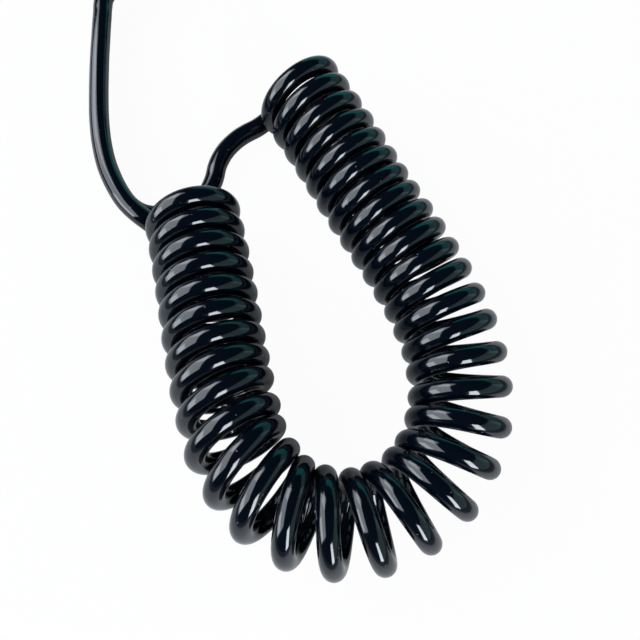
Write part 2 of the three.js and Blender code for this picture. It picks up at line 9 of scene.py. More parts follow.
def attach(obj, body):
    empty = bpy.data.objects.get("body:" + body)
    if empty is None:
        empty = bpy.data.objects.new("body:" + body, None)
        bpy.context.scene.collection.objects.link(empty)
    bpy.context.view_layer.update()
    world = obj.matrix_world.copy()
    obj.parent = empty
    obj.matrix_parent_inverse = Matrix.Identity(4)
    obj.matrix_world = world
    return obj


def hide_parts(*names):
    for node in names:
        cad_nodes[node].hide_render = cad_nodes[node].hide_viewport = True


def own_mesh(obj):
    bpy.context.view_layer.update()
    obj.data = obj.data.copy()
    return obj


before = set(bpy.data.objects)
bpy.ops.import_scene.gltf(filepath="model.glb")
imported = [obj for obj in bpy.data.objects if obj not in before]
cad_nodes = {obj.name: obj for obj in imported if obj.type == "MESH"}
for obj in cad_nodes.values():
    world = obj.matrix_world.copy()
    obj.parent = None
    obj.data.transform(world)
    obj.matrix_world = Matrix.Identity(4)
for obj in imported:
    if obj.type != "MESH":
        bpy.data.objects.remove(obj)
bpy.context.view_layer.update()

# ---- Camera ----
# The photograph was taken from above the bend of the coil, looking steeply down along the cable, with
# a normal lens. Place, aim and lens were found by fitting the coil's turns to it.
CAMERA_PLACE = Vector((-0.011298, -0.15581, 0.213172))
CAMERA_AIM = Vector((0.111421, 0.341853, -0.933125))
CAMERA_UP = Vector((0, 0.938972, 0.343995))
CAMERA_LENS = 40.4427  # mm
CAMERA_SENSOR = 36  # mm wide
CAMERA_NEAR = 0.01  # metres, closer than which nothing is seen


def put(name, data):
    """A new object in the scene."""
    made = bpy.data.objects.new(name, data)
    bpy.context.scene.collection.objects.link(made)
    return made


def camera_turn():
    """The camera's right, top and back as the columns of a matrix."""
    back = -CAMERA_AIM.normalized()
    right = CAMERA_UP.cross(back).normalized()
    return Matrix((right, back.cross(right), back)).transposed().to_4x4()


camera = put("camera", bpy.data.cameras.new("camera"))
camera.data.sensor_width = CAMERA_SENSOR
camera.data.lens = CAMERA_LENS
camera.data.clip_start = CAMERA_NEAR
camera.matrix_world = Matrix.Translation(CAMERA_PLACE) @ camera_turn()
bpy.context.scene.camera = camera

# ---- Shells ----
# A tube for each connector, die-cast in zinc, blasted and plated with nickel: the male one with a deep
# socket and the female one with a nose that fits it. All the other pieces go in from behind.
MM = 0.001  # a millimetre in metres; the sizes, outlines and corners of both connectors are in mm
SHELL_R = 9.5
AXIS_HIGH = SHELL_R  # the shells lie on the table
MALE = (-32.6, 156.9)  # x of a connector's axis and y of its front rim; its outlines run back from there
FEMALE = (-58.6, 143.9)
SHELL_L = 42
BORE_R = 8.3  # of both shells at the back
SOCKET_R = 8.15
SOCKET_DEPTH = 17
SOCKET_MOUTH = (0.2, 0.3)  # how much wider its rim is, and how deep that goes
SOCKET_FLOOR = (7.3, 18.5)  # radius of the hole in it, and where it ends
NOSE_R = 7.9
NOSE_L = 16.7
NOSE_MOUTH = (0.15, 0.2)
NOSE_BORE = (7, 23.7)  # its radius, and where it ends
EDGE = 0.4  # rounding of an outer edge
EDGE_MIDDLE = 0.12  # how far the middle of the rounding lies from either face
GROOVES = (35.4, 37.2)  # where the two turned grooves begin behind the rim
GROOVE = ((0, 0), (0.25, 0.2), (0.25, 0.7), (0, 0.9))  # depths, and places from its beginning
KEY = ((-1, 2, -8.45), (1, 16.7, -7.65))  # corners: across, behind the rim, and above the axis
KEYWAY = ((-1.3, -1, -8.9), (1.3, 16.7, -7.35))
NOTCH = ((-2.6, 7.8, 0), (2.6, 11, 8.8))  # in the socket's wall, for the latch's hook
LATCH_SLOT = ((-2.6, 5.7, 0), (2.6, 29.7, 10.5))
TURNED_SIDES = 128
SHARP_FROM = math.radians(32)  # between two faces; a flatter edge is smoothed
NICKEL = ((0.56, 0.55, 0.52), (0.68, 0.67, 0.64))  # where it is handled least, and most


def edge(radius, back, side=1):
    """A rounded outer edge at the front of a body or, with side -1, at its back."""
    points = [(radius - EDGE, back), (radius - EDGE_MIDDLE, back + side * EDGE_MIDDLE),
              (radius, back + side * EDGE)]
    return points[::side]


# Outlines are radii and places behind the rim, round from the bore's front edge.
SHELL_BACK = [(SHELL_R - depth, groove + place) for groove in GROOVES for depth, place in GROOVE]
SHELL_BACK += [*edge(SHELL_R, SHELL_L, -1), (BORE_R, SHELL_L)]
MALE_SHELL = [
    (SOCKET_R, SOCKET_MOUTH[1]), (SOCKET_R + SOCKET_MOUTH[0], 0), *edge(SHELL_R, 0), *SHELL_BACK,
    (BORE_R, SOCKET_FLOOR[1]), SOCKET_FLOOR, (SOCKET_FLOOR[0], SOCKET_DEPTH), (SOCKET_R, SOCKET_DEPTH),
]
FEMALE_SHELL = [
    (NOSE_BORE[0], NOSE_MOUTH[1]), (NOSE_BORE[0] + NOSE_MOUTH[0], 0), *edge(NOSE_R, 0),
    (NOSE_R, NOSE_L), *edge(SHELL_R, NOSE_L), *SHELL_BACK, (BORE_R, NOSE_BORE[1]), NOSE_BORE,
]


class Socket:
    """A socket of a node tree that takes part in sums: each operator adds its Math node."""

    def __init__(self, tree, link=None):
        self.tree = tree
        self.link = link

    def node(self, kind, inputs=None, output=0, **settings):
        """A node of any kind, with its settings made first, then values or links for its sockets."""
        made = self.tree.nodes.new(kind)
        for name, value in settings.items():
            setattr(made, name, value)
        for name, value in (inputs or {}).items():
            if isinstance(value, Socket):
                self.tree.links.new(value.link, made.inputs[name])
            else:
                made.inputs[name].default_value = value
        return Socket(self.tree, made.outputs[output])

    def __add__(self, other):
        return self.node("ShaderNodeMath", {0: self, 1: other}, operation="ADD")

    def __sub__(self, other):
        return self.node("ShaderNodeMath", {0: self, 1: other}, operation="SUBTRACT")

    def __mul__(self, other):
        return self.node("ShaderNodeMath", {0: self, 1: other}, operation="MULTIPLY")

    def __rsub__(self, other):
        return self.node("ShaderNodeMath", {0: other, 1: self}, operation="SUBTRACT")

    __radd__ = __add__
    __rmul__ = __mul__


def new_material(name, **sockets):
    """A material with its Principled shader, and a socket to start sums from."""
    material = bpy.data.materials.new(name)
    material.use_nodes = True
    shader = material.node_tree.nodes["Principled BSDF"]
    feed(shader, **sockets)
    return material, shader, Socket(material.node_tree)


def feed(shader, **sockets):
    """Sets or links sockets of a shader; an underscore stands for a space."""
    for name, value in sockets.items():
        socket = shader.inputs[name.replace("_", " ")]
        if isinstance(value, Socket):
            value.tree.links.new(value.link, socket)
        else:
            socket.default_value = value


def object_place(at, stretch=(1, 1, 1)):
    """Object coordinates in metres, each multiplied by its stretch."""
    place = at.node("ShaderNodeTexCoord", output="Object")
    return at.node("ShaderNodeVectorMath", {0: place, 1: stretch}, operation="MULTIPLY")


def noise(place, scale, detail=2.0):
    """Noise from 0 to 1, with that many waves to a metre."""
    return place.node("ShaderNodeTexNoise", {"Vector": place, "Scale": scale, "Detail": detail})


def step(value, low, high):
    """0 below low, 1 above high, and a straight slope between."""
    return value.node("ShaderNodeMapRange", {0: value, 1: low, 2: high}, clamp=True)


def mixed(share, low, high):
    """A colour that goes from low to high with the share."""
    return share.node("ShaderNodeMix", {0: share, 6: (*low, 1), 7: (*high, 1)}, 2, data_type="RGBA")


def bump(height, deep, over=None):
    """A normal from a height of 0 to 1 times so many mm, which may lie over another bump."""
    inputs = {"Height": height, "Distance": deep * MM}
    if over:
        inputs["Normal"] = over
    return height.node("ShaderNodeBump", inputs)


def show(name, bm):
    """A new object of what bm holds, with faces that point outwards."""
    bmesh.ops.recalc_face_normals(bm, faces=bm.faces)
    mesh = bpy.data.meshes.new(name)
    bm.to_mesh(mesh)
    bm.free()
    return put(name, mesh)


def turned(name, outline, connector, sides=TURNED_SIDES, middle=(0, 0)):
    """A body turned about a line behind the rim, which may lie aside from the connector's axis."""
    x, z = connector[0] + middle[0], AXIS_HIGH + middle[1]
    bm = bmesh.new()
    rings = []
    for radius, back in outline:
        turns = [2 * math.pi * k / sides for k in range(sides if radius else 1)]
        y = connector[1] - back
        places = [Vector((x + radius * math.cos(a), y, z + radius * math.sin(a))) * MM for a in turns]
        rings.append([bm.verts.new(place) for place in places])
    for ring, following in zip(rings, rings[1:] + rings[:1]):
        for k in range(sides if len(ring) + len(following) > 2 else 0):
            corners = [ring[k % len(ring)], ring[(k + 1) % len(ring)],
                       following[(k + 1) % len(following)], following[k % len(following)]]
            bm.faces.new(list(dict.fromkeys(corners)))
    return show(name, bm)


def block(corners, connector):
    """A box between two corners, each across, behind the connector's rim, and above its axis."""
    low, high = [
        Vector((connector[0] + x, connector[1] - back, AXIS_HIGH + z)) * MM for x, back, z in corners
    ]
    size = Matrix.Diagonal([*(high - low), 1])
    bm = bmesh.new()
    bmesh.ops.create_cube(bm, size=1, matrix=Matrix.Translation((low + high) / 2) @ size)
    return show("block", bm)


def result_mesh(body):
    """The mesh that a body's modifiers give."""
    evaluated = body.evaluated_get(bpy.context.evaluated_depsgraph_get())
    return bpy.data.meshes.new_from_object(evaluated)


def reshape(body, other, operation):
    """Adds another body to this one, or cuts it away."""
    change = body.modifiers.new("shape", "BOOLEAN")
    change.operation = operation
    change.solver = "EXACT"
    change.object = other
    mesh = result_mesh(body)
    body.modifiers.clear()
    body.data = mesh
    bpy.data.objects.remove(other)


def settle(piece, material, node):
    """Smooths a finished piece of the cable's body, and puts it in place of its CAD node."""
    piece.data.shade_smooth()
    piece.data.set_sharp_from_angle(angle=SHARP_FROM)
    piece.data.materials.clear()
    piece.data.materials.append(material)
    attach(piece, "cable")
    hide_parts(node)


def nickel_material():
    material, shader, at = new_material("satin_nickel", Metallic=1.0)
    place = object_place(at)
    handled = noise(place, 140, 3)
    blasted = noise(place, 5200)
    scratches = noise(object_place(at, (1, 0.06, 1)), 2400, 1)
    feed(shader, Base_Color=mixed(handled, *NICKEL))
    feed(shader, Roughness=0.24 + handled * 0.14 + blasted * 0.06)
    feed(shader, Normal=bump(scratches, 0.004, bump(blasted, 0.006)))
    return material


satin_nickel = nickel_material()
socket_shell = turned("socket_shell", MALE_SHELL, MALE)
reshape(socket_shell, block(KEY, MALE), "UNION")
reshape(socket_shell, block(NOTCH, MALE), "DIFFERENCE")
settle(socket_shell, satin_nickel, "male_shell")

nose_shell = turned("nose_shell", FEMALE_SHELL, FEMALE)
reshape(nose_shell, block(LATCH_SLOT, FEMALE), "DIFFERENCE")
reshape(nose_shell, block(KEYWAY, FEMALE), "DIFFERENCE")
settle(nose_shell, satin_nickel, "female_shell")

# ---- Inserts ----
# Moulded in black glass-filled nylon, each slides into its shell up to a shoulder. The male one holds
# three pins; the female one guides them to its contacts, and has a pocket and a well for the latch.
MALE_INSERT = [(0, 17), (6.8, 17), (7, 17.2), (7, 18.8), (8, 18.8), (8, 27), (6.7, 27), (6.7, 25), (0, 25)]
FEMALE_INSERT = [(0, 0.6), (6.4, 0.6), (6.7, 0.9), (6.7, 24), (8, 24), (8, 29), (0, 29)]
PIN_HOLE = [(0, 10), (1.5, 10), (1.5, 30), (0, 30)]
CONTACT_HOLE = [(0, -1), (2, -1), (2, 0.7), (1.5, 1.2), (1.5, 3.2), (2, 3.2), (2, 30), (0, 30)]
HOLE_SIDES = 48
POLE_CIRCLE = 4.15
POLE_TURNS = (15, 165, 270)  # degrees round the axis; the female poles are the male ones' mirror image
POCKETS = (  # for the latch's bar, and for its wings
    ((-2.6, 5.7, 3.9), (2.6, 30, 9.5)), ((-3.7, 24.3, 3.9), (3.7, 30, 9.5)),
)
WELL = ((-1.45, 24.55, -1.4), (1.45, 27.45, 9.5))  # for the latch's spring
NYLON = ((0.012, 0.013, 0.014), (0.026, 0.027, 0.029))  # between its fibres, and on them


def poles(side):
    """The places of the three poles beside and above the axis."""
    for turn in POLE_TURNS:
        a = math.radians(turn)
        yield side * POLE_CIRCLE * math.cos(a), POLE_CIRCLE * math.sin(a)


def nylon_material():
    material, shader, at = new_material("moulded_nylon")
    place = object_place(at)
    fibres = noise(object_place(at, (1, 0.3, 1)), 3000, 3)
    feed(shader, Base_Color=mixed(fibres, *NYLON))
    feed(shader, Roughness=0.38 + noise(place, 500) * 0.2)
    feed(shader, Normal=bump(noise(place, 4000), 0.01))
    return material


nylon = nylon_material()
socket_insert = turned("socket_insert", MALE_INSERT, MALE)
for middle in poles(1):
    reshape(socket_insert, turned("hole", PIN_HOLE, MALE, HOLE_SIDES, middle), "DIFFERENCE")
settle(socket_insert, nylon, "male_insert")

nose_insert = turned("nose_insert", FEMALE_INSERT, FEMALE)
for middle in poles(-1):
    reshape(nose_insert, turned("hole", CONTACT_HOLE, FEMALE, HOLE_SIDES, middle), "DIFFERENCE")
for corners in (*POCKETS, WELL):
    reshape(nose_insert, block(corners, FEMALE), "DIFFERENCE")
settle(nose_insert, nylon, "female_insert")

# ---- Pins and contacts ----
# Three solid pins in the male insert and three sleeves in the female one, turned in bronze and plated
# with silver, which has begun to tarnish. Each is pressed into its insert, with a solder cup behind.
PIN = [(0, 4.5), (0.35, 4.54), (0.7, 4.75), (1, 5.15), (1.2, 5.7), (1.2, 25.3), (1.7, 25.3),
       (1.7, 32.5), (1.1, 32.5), (1.1, 28.9), (0, 28.9)]
PIN_SIDES = 40
SILVER = ((0.82, 0.8, 0.76), (0.6, 0.52, 0.4))  # bright, and tarnished


def dress(material, *names):
    """Gives CAD pieces, which stay as they are, their finish."""
    for name in names:
        cad_nodes[name].material_slots[0].material = material


def silver_material():
    material, shader, at = new_material("silver_plate", Metallic=1.0)
    tarnish = step(noise(object_place(at), 320, 4), 0.45, 0.75)
    lathe_marks = noise(object_place(at, (0.02, 1, 0.02)), 9000, 1)
    feed(shader, Base_Color=mixed(tarnish, *SILVER))
    feed(shader, Roughness=0.14 + tarnish * 0.18)
    feed(shader, Normal=bump(lathe_marks, 0.004))
    return material


silver = silver_material()
for number, middle in enumerate(poles(1), 1):
    pin = turned(f"socket_pin_{number}", PIN, MALE, PIN_SIDES, middle)
    settle(pin, silver, f"male_pin_{number}")
    dress(silver, f"female_contact_{number}")

# ---- Latch ----
# A bar of nickel-plated zinc in a slot at the top of the female shell. A thumb presses its ridged pad
# down against the spring, which frees the hook at its front from the male shell's notch.
PAD_MIDDLE = 24.9  # behind the rim
PAD_HIGH = 10.4  # above the axis
RIDGES = 5
RIDGE_STEP = 1.3
RIDGE_SIZE = Vector((3.8, 0.6, 0.4)) * MM  # across the pad, along it, and high
RIDGE_FACES = (16, 8)  # round a ridge, and from pole to pole


def new_tree(name, sizes):
    """An empty tree, and the sockets of its named inputs."""
    tree = bpy.data.node_groups.new(name, "GeometryNodeTree")
    for label, kind in sizes.items():
        tree.interface.new_socket(label, in_out="INPUT", socket_type=kind)
    tree.interface.new_socket("Geometry", in_out="OUTPUT", socket_type="NodeSocketGeometry")
    inputs = tree.nodes.new("NodeGroupInput")
    return Socket(tree), {label: Socket(tree, inputs.outputs[label]) for label in sizes}


def bead(at, size, faces):
    """A ball 1 across that is squeezed to a size, for a tree to repeat."""
    ball = at.node("GeometryNodeMeshUVSphere", {"Segments": faces[0], "Rings": faces[1], "Radius": 0.5})
    squeezed = at.node("GeometryNodeTransform", {"Geometry": ball, "Scale": size})
    return at.node("GeometryNodeSetShadeSmooth", {"Geometry": squeezed})


def finish_tree(at, points, shape, material, turn=(0, 0, 0)):
    """Puts the shape on each point, turned, and ends the tree."""
    repeated = at.node("GeometryNodeInstanceOnPoints", {
        "Points": points, "Instance": shape, "Rotation": turn,
    })
    real = at.node("GeometryNodeRealizeInstances", {"Geometry": repeated})
    coated = at.node("GeometryNodeSetMaterial", {"Geometry": real, "Material": material})
    result = at.tree.nodes.new("NodeGroupOutput")
    at.tree.links.new(coated.link, result.inputs["Geometry"])
    return at.tree


def grown(name, tree, values, body):
    """Makes the tree's result a plain mesh that rides on a body."""
    seed = put(name + "_seed", bpy.data.meshes.new(name + "_seed"))
    modifier = seed.modifiers.new("grow", "NODES")
    modifier.node_group = tree
    for item in tree.interface.items_tree:
        if item.in_out == "INPUT":
            modifier[item.identifier] = values[item.name]
    mesh = result_mesh(seed)
    bpy.data.objects.remove(seed)
    piece = put(name, mesh)
    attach(piece, body)


def ridge_tree(material):
    """A straight row of ridges."""
    at, sizes = new_tree("ridges", {
        "First": "NodeSocketVector", "Step": "NodeSocketVector", "Count": "NodeSocketInt",
        "Size": "NodeSocketVector",
    })
    row = at.node("GeometryNodeMeshLine", {
        "Count": sizes["Count"], "Start Location": sizes["First"], "Offset": sizes["Step"],
    })
    return finish_tree(at, row, bead(at, sizes["Size"], RIDGE_FACES), material)


dress(satin_nickel, "latch_button")
first_ridge = Vector((
    FEMALE[0], FEMALE[1] - PAD_MIDDLE - (RIDGES - 1) / 2 * RIDGE_STEP, AXIS_HIGH + PAD_HIGH,
))
grown("latch_ridges", ridge_tree(satin_nickel), {
    "First": first_ridge * MM, "Step": (0, RIDGE_STEP * MM, 0), "Count": RIDGES, "Size": RIDGE_SIZE,
}, "latch")

# ---- Latch spring ----
# A coil of drawn steel wire in a well of the female insert. It stands on the well's floor,
# and pushes the latch up.
WIRE_STEEL = ((0.42, 0.42, 0.43), (0.58, 0.58, 0.59))  # where it is dry, and oiled


def wire_material():
    material, shader, at = new_material("drawn_steel", Metallic=1.0)
    place = object_place(at)
    oiled = noise(place, 900, 3)
    feed(shader, Base_Color=mixed(oiled, *WIRE_STEEL))
    feed(shader, Roughness=0.25 + oiled * 0.15)
    feed(shader, Normal=bump(noise(place, 6000), 0.003))
    return material


dress(wire_material(), "latch_spring")
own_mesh(cad_nodes["latch_spring"])

# ---- Clamps ----
# A slit sleeve in each shell, moulded in the same black nylon as the inserts. It goes round the cord's
# jacket, and screwing in the boot wedges it tight.
dress(nylon, "male_chuck", "female_chuck")

# ---- Cores ----
# Inside each connector the cord's three conductors run from the end of its jacket to the solder cups:
# the twisted tinned strands of the screen, and a red and a white insulated wire.
TIN = ((0.4, 0.38, 0.34), (0.68, 0.67, 0.64))  # darker between the strands, as painted shade in the grooves, and on them
INSULATION = {"red": (0.45, 0.02, 0.02), "white": (0.75, 0.73, 0.68)}
DRAWN_SHADE = 0.85  # of its colour in the drawing marks


def strand_material():
    material, shader, at = new_material("tinned_strands", Metallic=1.0)
    twist = at.node("ShaderNodeTexWave", {"Vector": object_place(at, (1, 1.6, 1)), "Scale": 900})
    # The colour is darker between the strands: painted shade in the grooves of the twist.
    feed(shader, Base_Color=mixed(twist, *TIN))
    feed(shader, Roughness=0.5 - twist * 0.2)
    feed(shader, Normal=bump(twist, 0.06))
    return material


def insulation_material(name, colour):
    material, shader, at = new_material(name, IOR=1.48)
    drawn = noise(object_place(at, (1, 0.1, 1)), 2500)
    feed(shader, Base_Color=mixed(drawn, [DRAWN_SHADE * c for c in colour], colour))
    feed(shader, Roughness=0.32 + drawn * 0.12)
    feed(shader, Normal=bump(drawn, 0.01))
    return material


dress(strand_material(), "male_core_1", "female_core_1")
for number, (colour_name, colour) in enumerate(INSULATION.items(), 2):
    insulation = insulation_material(colour_name + "_insulation", colour)
    dress(insulation, f"male_core_{number}", f"female_core_{number}")

# ---- Boots ----
# Matt black rubber moulded over a threaded collar, one screwed into the back of each shell. Ribs on the
# collar give a grip, and rings along the cone let it bend with the cord.
CONE = (49.5, 72)  # its ends behind the rim
CONE_R = (8.3, 4.9)  # its radius at either end
BOOT_FRONT = [(6.2, 36.5), (8, 36.5), (8, 42.3), *edge(9.3, 42.3), (9.3, 49.1)]
BOOT_END = [*edge(CONE_R[1], CONE[1], -1), (3.45, 72), (3.45, 48.5), (6.2, 47.3)]
RINGS = 6
RING_FIRST = 0.7  # share of their pitch before the first groove
RING_GROOVE = [  # depth, and share of the pitch
    (0, 0), (0.45, 0.1), (0.6, 0.2), (0.6, 0.35), (0.45, 0.45), (0, 0.55),
]
RIBS = 36
RIB_SIZE = Vector((0.7, 5.2, 0.5)) * MM  # round the collar, along it, and high
RIB_FACES = (10, 8)  # round a rib, and from pole to pole
RIB_MIDDLE = 46  # behind the rim
COLLAR_R = 9.25
RUBBER = ((0.008, 0.009, 0.01), (0.022, 0.023, 0.025))  # clean, and with bloom


def boot_outline():
    """The collar, the cone with a groove between each two rings, and back through the bore."""
    pitch = (CONE[1] - CONE[0]) / (RINGS + 1)
    outline = list(BOOT_FRONT)
    for ring in range(RINGS):
        for depth, share in RING_GROOVE:
            back = CONE[0] + pitch * (ring + RING_FIRST + share)
            outline.append((float(np.interp(back, CONE, CONE_R)) - depth, back))
    return outline + BOOT_END


def rubber_material():
    material, shader, at = new_material("boot_rubber")
    place = object_place(at)
    bloom = noise(place, 170, 4)
    feed(shader, Base_Color=mixed(bloom, *RUBBER))
    feed(shader, Roughness=0.52 + bloom * 0.2)
    feed(shader, Normal=bump(noise(place, 3200, 3), 0.025))
    return material


def rib_tree(material):
    """A ring of ribs round a line along Y, each turned outwards."""
    at, sizes = new_tree("ribs", {
        "Middle": "NodeSocketVector", "Radius": "NodeSocketFloat", "Count": "NodeSocketInt",
        "Size": "NodeSocketVector",
    })
    flat_ring = at.node("GeometryNodeMeshCircle", {"Vertices": sizes["Count"], "Radius": sizes["Radius"]})
    ring = at.node("GeometryNodeTransform", {
        "Geometry": flat_ring, "Rotation": (math.pi / 2, 0, 0), "Translation": sizes["Middle"],
    })
    point = at.node("GeometryNodeInputPosition")
    outward = at.node("ShaderNodeVectorMath", {0: point, 1: sizes["Middle"]}, operation="SUBTRACT")
    turn = at.node("FunctionNodeAlignEulerToVector", {"Vector": outward}, axis="Z", pivot_axis="Y")
    return finish_tree(at, ring, bead(at, sizes["Size"], RIB_FACES), material, turn)


rubber = rubber_material()
ribs = rib_tree(rubber)
for end, connector in (("male", MALE), ("female", FEMALE)):
    boot = turned(end + "_bend_boot", boot_outline(), connector)
    settle(boot, rubber, end + "_boot")
    middle = Vector((connector[0], connector[1] - RIB_MIDDLE, AXIS_HIGH)) * MM
    grown(end + "_grip_ribs", ribs, {
        "Middle": middle, "Radius": COLLAR_R * MM, "Count": RIBS, "Size": RIB_SIZE,
    }, "cable")

# ---- Cord ----
# One length of round cord, extruded in glossy black polyurethane. Its middle was wound on a mandrel and
# set with heat into 35 close turns; the two ends were left straight, and each goes into a connector.
CORD_D = 6.3 * MM
COIL_TURNS = 34.5  # along the axis below; the coil runs on for about a quarter turn past either end
COIL_AXIS = MM * np.array([  # the coil's axis at equal steps of winding, seen from above
    (-25.5, -49.2), (-22.8, -63.4), (-20.4, -77.2), (-18.1, -91.6), (-15.3, -106.1), (-10.4, -122.8),
    (1.8, -137.3), (21.5, -141.4), (40.3, -132.3), (50.7, -114.9), (52.2, -96.3), (48.3, -80.1),
    (42.2, -66.2), (35.5, -53.6), (28.6, -41.1), (22.1, -28.2), (15.1, -15.1), (7.8, -2.4),
])
COIL_LEAN = [1, -1, -10, 1, 1, 1, -2, 1]  # degrees that the turns are sheared along the axis
COIL_TIP = [-8, -6, -5, -5, -8, -6, -6, 0]  # degrees that their tops are tipped along it
COIL_R = (11.55 * MM, 12.3 * MM)  # from the coil's axis to the middle of the cord, first turn and last
COIL_ANGLES = (-112.5, 34 * 360 + 270)  # degrees, where the winding begins and ends
TURN_STEPS = 72
CORD_SIDES = 28
LEAD_STEP = 1.2 * MM
CURVE_STEPS = 40  # between two points of a route, before they are made even
LOW = 3.25  # mm, the middle of a lead that lies on the table
HIGH = 9.85  # mm, that of a lead that lies on the other
START_ROUTE = MM * np.array([  # from the first turn to the male connector
    (-41, -47.1, 9.3), (-45.2, -43.5, HIGH), (-48.2, -39.5, HIGH), (-52.5, -30.8, HIGH),
    (-55, -22, HIGH), (-56.5, -12.8, HIGH), (-57.3, -3.4, HIGH), (-58, 10.9, HIGH),
    (-58.2, 20.9, HIGH), (-58.3, 29.9, HIGH), (-58.1, 38.2, 9.8), (-53.6, 47.6, 9.2),
    (-46.8, 55.1, 8.8), (-39.5, 61.8, 8.9), (-34.4, 69, 9.3), (-32.6, 75.9, AXIS_HIGH),
    (-32.6, 84.9, AXIS_HIGH), (-32.6, 100.9, AXIS_HIGH), (-32.6, 116.9, AXIS_HIGH),
])
END_ROUTE = MM * np.array([  # from the last turn to the female connector
    (-5.4, -8.8, LOW), (-9.3, -11.3, LOW), (-12.4, -13.9, LOW), (-16, -18.3, LOW),
    (-18.5, -23.8, LOW), (-19.7, -29.5, LOW), (-22, -35.1, LOW), (-26, -40, LOW),
    (-31.4, -42.4, LOW), (-37.3, -43.2, LOW), (-43.1, -42, LOW), (-48.4, -37.2, LOW),
    (-53.6, -26.8, LOW), (-56.4, -17.5, LOW), (-57.9, -8.1, LOW), (-58.7, 1.5, LOW),
    (-59.4, 16.5, LOW), (-59.8, 26.9, LOW), (-59.9, 35.9, LOW), (-59.5, 43.9, 3.9),
    (-58.9, 51.1, 6.1), (-58.6, 57.1, 8.5), (-58.6, 62.8, AXIS_HIGH),
    (-58.6, 71.9, AXIS_HIGH), (-58.6, 87.9, AXIS_HIGH), (-58.6, 103.9, AXIS_HIGH),
])
JACKET = (0.0004, 0.0016, 0.0043)
DUST = (0.12, 0.13, 0.14)
STREAKS = (30, 1500)  # marks of the drawing in a metre, along the cord and round it


def curve(start, end, leaving, reaching, share):
    """A smooth curve from start to end, with its slopes there, at a share of the way."""
    square = 3 * (end - start) - 2 * leaving - reaching
    cube = 2 * (start - end) + leaving + reaching
    return start + leaving * share + square * share**2 + cube * share**3


def extended(points):
    """The points, with one more at either end in line with the last two."""
    return np.concatenate([[2 * points[0] - points[1]], points, [2 * points[-1] - points[-2]]])


def smooth(values, place):
    """A smooth curve through equally spaced values, at each place, run on past either end."""
    values = np.asarray(values, float)
    ends = extended(values)
    i = np.clip(np.floor(place).astype(int), 0, len(values) - 2)
    share = (place - i).reshape((-1,) + (1,) * (values.ndim - 1))
    before, start, end, after = ends[i], ends[i + 1], ends[i + 2], ends[i + 3]
    return curve(start, end, (end - before) / 2, (after - start) / 2, share)


def unit(vectors):
    """The same directions, each 1 long."""
    return vectors / np.linalg.norm(vectors, axis=-1, keepdims=True)


def coil_line(angles):
    """The middle of the cord at angles of winding, in radians."""
    u = angles / (2 * np.pi * COIL_TURNS)
    place = u * (len(COIL_AXIS) - 1)
    near = 0.01  # of the way to the next point of the axis, for its direction
    along = unit(smooth(COIL_AXIS, place + near) - smooth(COIL_AXIS, place - near))
    across = np.stack([-along[:, 1], along[:, 0]], 1)
    inside = np.clip(u, 0, 1)
    lean = np.radians(smooth(COIL_LEAN, inside * (len(COIL_LEAN) - 1)))[:, None]
    tip = np.radians(smooth(COIL_TIP, inside * (len(COIL_TIP) - 1)))
    radius = COIL_R[0] + (COIL_R[1] - COIL_R[0]) * inside
    flat = (radius * np.cos(angles))[:, None] * (across * np.cos(lean) + along * np.sin(lean))
    flat += (radius * np.sin(angles) * np.sin(tip))[:, None] * along
    height = radius + CORD_D / 2 + radius * np.sin(angles) * np.cos(tip)
    return np.column_stack([smooth(COIL_AXIS, place) + flat, height])


def distances(line):
    """How far along the line each of its points lies."""
    return np.concatenate([[0], np.cumsum(np.linalg.norm(np.diff(line, axis=0), axis=1))])


def even(line, step):
    """The same line with its points at equal distances."""
    reach = distances(line)
    places = np.linspace(0, reach[-1], int(round(reach[-1] / step)) + 1)
    return np.column_stack([np.interp(places, reach, line[:, k]) for k in range(3)])


def lead_line(points):
    """A centripetal curve through points, sampled at even steps."""
    ends = extended(points)
    share = np.linspace(0, 1, CURVE_STEPS, endpoint=False)[:, None]
    line = []
    for p0, p1, p2, p3 in zip(ends, ends[1:], ends[2:], ends[3:]):
        t0, t1, t2 = (math.sqrt(np.linalg.norm(b - a)) for a, b in ((p0, p1), (p1, p2), (p2, p3)))
        leaving = ((p1 - p0) / t0 - (p2 - p0) / (t0 + t1) + (p2 - p1) / t1) * t1
        reaching = ((p2 - p1) / t1 - (p3 - p1) / (t1 + t2) + (p3 - p2) / t2) * t1
        line.append(curve(p1, p2, leaving, reaching, share))
    return even(np.vstack(line + [points[-1:]]), LEAD_STEP)


def cord_line():
    """The whole centreline, from the end of the jacket in the male connector to that in the female."""
    steps = int(round((COIL_ANGLES[1] - COIL_ANGLES[0]) / 360 * TURN_STEPS))
    coil = coil_line(np.radians(np.linspace(*COIL_ANGLES, steps + 1)))
    start = coil[0] + unit(coil[0] - coil[1]) * CORD_D
    end = coil[-1] + unit(coil[-1] - coil[-2]) * CORD_D
    start_lead = lead_line(np.vstack([coil[0], start, START_ROUTE]))[::-1]
    end_lead = lead_line(np.vstack([coil[-1], end, END_ROUTE]))
    whole = np.vstack([start_lead[:-1], coil, end_lead[1:]])
    whole[:, 2] = np.maximum(whole[:, 2], CORD_D / 2)  # it rests on the table
    return whole


def carried_frames(line):
    """Two directions across the line at each point, carried along it without twisting."""
    ahead = unit(np.gradient(line, axis=0))
    side = np.zeros_like(line)
    side[0] = unit(np.cross(ahead[0], (0, 0, 1)))
    for i in range(1, len(line)):
        side[i] = unit(side[i - 1] - ahead[i] * (side[i - 1] @ ahead[i]))
    return side, np.cross(ahead, side)


